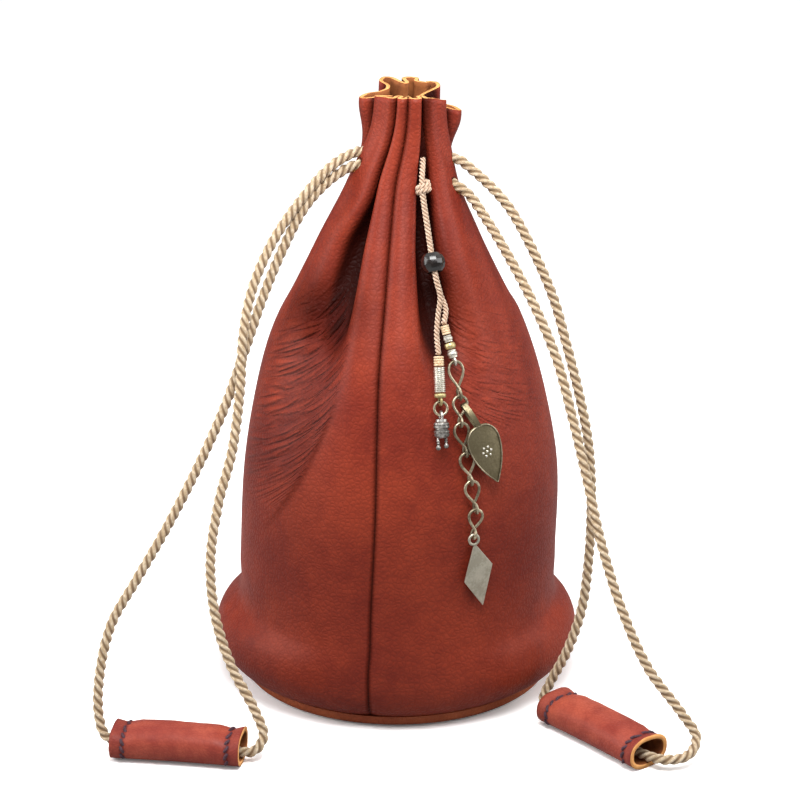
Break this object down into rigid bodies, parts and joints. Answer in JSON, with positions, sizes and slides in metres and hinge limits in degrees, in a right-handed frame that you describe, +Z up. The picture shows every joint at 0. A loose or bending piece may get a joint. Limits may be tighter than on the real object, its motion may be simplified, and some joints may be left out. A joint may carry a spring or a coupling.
{
  "type": "drawstring bag",
  "caption": "Standing leather drawstring pouch: pleated neck, rolled foot and round base, rope drawcords through leather toggles, and a corded charm with beads, wire chain and pendants.",
  "frame": {"origin": "centre of the bag's footprint, on the surface that it stands on", "axes": "+Z up through the neck, -Y out of the front with the seam and the charm, +X to the right seen from the front"},
  "size_m": [0.2255, 0.1652, 0.2353],
  "materials": {
    "bag_leather": "soft red-brown grain leather",
    "base_leather": "tan-brown grain leather",
    "toggle_leather": "red-brown grain leather, raw tan ends",
    "rope": "three-strand twisted rope",
    "charm_cord": "thin twisted cord",
    "thread": "wound thread",
    "dark_bead": "dark polished facets",
    "silver": "engraved silver",
    "dark_silver": "darkened silver",
    "brass": "dull brass",
    "old_metal": "worn wire",
    "pendant_metal": "worn olive-grey plate"
  },
  "bodies": {
    "root": {"bag_wall": "bag_leather", "bag_base": "base_leather", "drawcord_left": "rope", "drawcord_right": "rope", "toggle_left": "toggle_leather", "toggle_right": "toggle_leather", "charm_cord_left": "charm_cord", "charm_cord_right": "charm_cord", "charm_knot": "charm_cord", "charm_bead": "dark_bead", "charm_whipping_left": "thread", "charm_whipping_right": "thread", "tube_bead": "silver", "brass_ring": "brass", "jump_ring": "old_metal", "drum_charm": "dark_silver", "bead_upper": "silver", "bead_brass": "brass", "bead_lower": "silver", "chain_link_1": "old_metal", "chain_link_2": "old_metal", "chain_link_3": "old_metal", "chain_link_4": "old_metal", "chain_link_5": "old_metal", "chain_link_6": "old_metal", "leaf_pendant": "pendant_metal", "diamond_pendant": "pendant_metal"}
  },
  "joints": []
}
